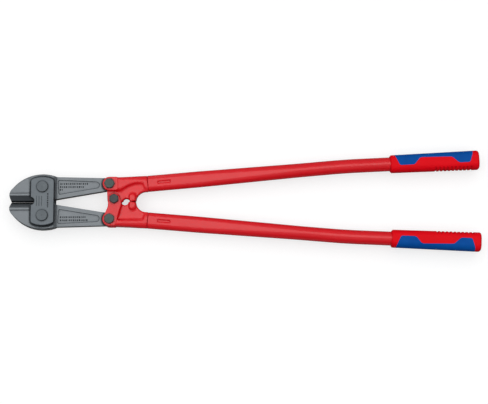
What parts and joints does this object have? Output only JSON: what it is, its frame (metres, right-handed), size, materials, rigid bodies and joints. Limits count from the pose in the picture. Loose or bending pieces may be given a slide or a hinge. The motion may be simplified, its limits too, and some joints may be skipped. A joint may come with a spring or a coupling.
{
  "type": "bolt cutters",
  "caption": "Long-handled compound bolt cutters lying closed: short bevelled jaws between two head plates, a toggle linkage, and two tubular handles with soft grips.",
  "frame": {"origin": "under the middle of the tool, on the surface that it lies on", "axes": "+X from the jaws to the handles, +Y towards the upper handle, +Z through the thickness, from the nuts to the bolt heads"},
  "size_m": [0.911, 0.1976, 0.0527],
  "materials": {
    "phosphated_steel": "phosphated forging, matt",
    "dark_bolt_steel": "blackened, satin",
    "red_powder_coat": "powder coat, satin",
    "red_grip_plastic": "satin",
    "blue_soft_inlay": "soft, matt"
  },
  "bodies": {
    "head": {"front_head_plate": "phosphated_steel", "back_head_plate": "phosphated_steel", "upper_jaw_bolt": "phosphated_steel", "lower_jaw_bolt": "phosphated_steel", "upper_jaw_nut": "dark_bolt_steel", "lower_jaw_nut": "dark_bolt_steel"},
    "upper_jaw": {"upper_jaw": "phosphated_steel"},
    "lower_jaw": {"lower_jaw": "phosphated_steel"},
    "upper_handle": {"upper_lever": "red_powder_coat", "upper_link_bolt": "dark_bolt_steel", "upper_link_nut": "dark_bolt_steel", "upper_handle_tube": "red_powder_coat", "upper_grip": "red_grip_plastic", "upper_grip_inlay": "blue_soft_inlay"},
    "lower_handle": {"lower_lever": "red_powder_coat", "lower_link_bolt": "dark_bolt_steel", "lower_link_nut": "dark_bolt_steel", "centre_pivot_bolt": "dark_bolt_steel", "centre_pivot_nut": "dark_bolt_steel", "centre_adjusting_bush": "dark_bolt_steel", "lower_handle_tube": "red_powder_coat", "lower_grip": "red_grip_plastic", "lower_grip_inlay": "blue_soft_inlay"}
  },
  "joints": [
    {"name": "upper_jaw_pivot", "type": "hinge", "parent": "head", "child": "upper_jaw", "pos_m": [-0.39092, 0.028, 0.0282], "axis": [0, 0, 1], "range_deg": [-7, 0]},
    {"name": "lower_jaw_pivot", "type": "hinge", "parent": "head", "child": "lower_jaw", "pos_m": [-0.39092, -0.028, 0.0282], "axis": [0, 0, 1], "range_deg": [0, 7]},
    {"name": "upper_link_pivot", "type": "hinge", "parent": "upper_jaw", "child": "upper_handle", "pos_m": [-0.26192, 0.0345, 0.0282], "axis": [0, 0, 1], "range_deg": [0, 62]},
    {"name": "lower_link_pivot", "type": "hinge", "parent": "lower_jaw", "child": "lower_handle", "pos_m": [-0.26192, -0.0345, 0.0282], "axis": [0, 0, 1], "range_deg": [-43.4, 0]}
  ],
  "couplings": [
    {"joint": "upper_jaw_pivot", "follows": "upper_link_pivot", "ratio": -0.1129},
    {"joint": "lower_jaw_pivot", "follows": "upper_link_pivot", "ratio": 0.1129},
    {"joint": "lower_link_pivot", "follows": "upper_link_pivot", "ratio": -0.7}
  ]
}
